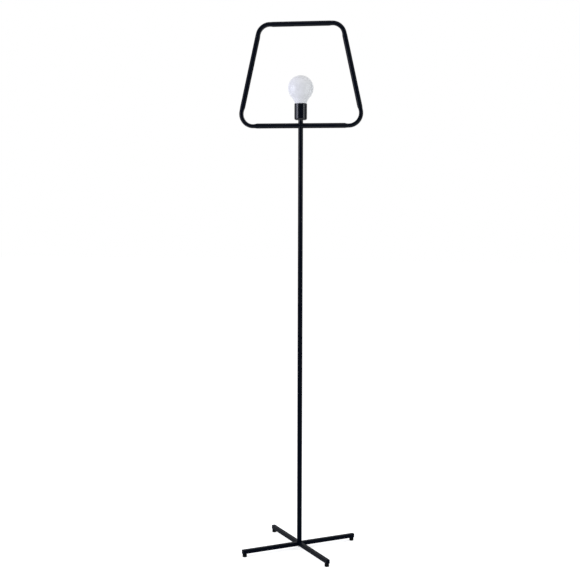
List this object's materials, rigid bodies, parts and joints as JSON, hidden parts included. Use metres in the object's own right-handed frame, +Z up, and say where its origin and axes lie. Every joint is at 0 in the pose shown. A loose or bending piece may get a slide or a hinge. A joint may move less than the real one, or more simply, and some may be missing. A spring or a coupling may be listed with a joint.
{
  "type": "floor lamp",
  "caption": "Floor lamp: thin upright pole on a cross of square bars, carrying a closed trapezoid loop of bent tube with a cup lampholder and a globe bulb inside the loop.",
  "frame": {"origin": "on the floor, under the pole's axis", "axes": "+Z up along the pole; the loop lies in the XZ plane and the cord's inlet faces +Y, the back"},
  "size_m": [0.3932, 0.331, 1.6795],
  "materials": {
    "black_paint": "satin black powder coat",
    "foot_rubber": "matt",
    "black_plastic": "matt",
    "zinc_steel": "zinc plated",
    "contact_brass": "bright",
    "ceramic": "unglazed white",
    "lead_sheath": "matt sheath",
    "brown_core": "insulation",
    "blue_core": "insulation",
    "opal_glass": "opal white, glossy",
    "clear_glass": "clear",
    "filament_phosphor": "yellow phosphor coat",
    "green_board": "lacquered board",
    "nickel_cap": "nickel plated",
    "black_glass": "black insulating glass",
    "solder": "solder"
  },
  "bodies": {
    "stand": {"leg_bar_lower": "black_paint", "leg_bar_upper": "black_paint", "foot_right_back": "foot_rubber", "foot_left_back": "foot_rubber", "foot_left_front": "foot_rubber", "foot_right_front": "foot_rubber", "foot_screws": "zinc_steel", "pole_washer": "zinc_steel", "pole_screw": "zinc_steel", "pole_tube": "black_paint", "pole_foot_bush": "zinc_steel", "pole_top_bush": "zinc_steel", "inlet_grommet": "black_plastic", "loop_tube": "black_paint", "neck_tube": "black_paint", "threaded_nipple": "zinc_steel", "holder_cup": "black_paint", "cup_nut": "zinc_steel", "holder_strap": "zinc_steel", "holder_insert": "ceramic", "insert_screws": "zinc_steel", "screw_shell": "contact_brass", "centre_contact": "contact_brass", "side_contact": "contact_brass", "line_terminal": "contact_brass", "neutral_terminal": "contact_brass", "clamp_screws": "zinc_steel", "inner_lead": "lead_sheath", "line_core": "brown_core", "neutral_core": "blue_core"},
    "bulb": {"bulb_glass": "opal_glass", "bulb_stem": "clear_glass", "filament_wires": "zinc_steel", "led_filaments": "filament_phosphor", "driver_board": "green_board", "bulb_cap": "nickel_cap", "bulb_insulator": "black_glass", "bulb_contact": "solder"}
  },
  "joints": [
    {"name": "bulb_unscrew", "type": "slide", "parent": "stand", "child": "bulb", "axis": [0, 0, 1], "range_m": [0, 0.045]}
  ]
}
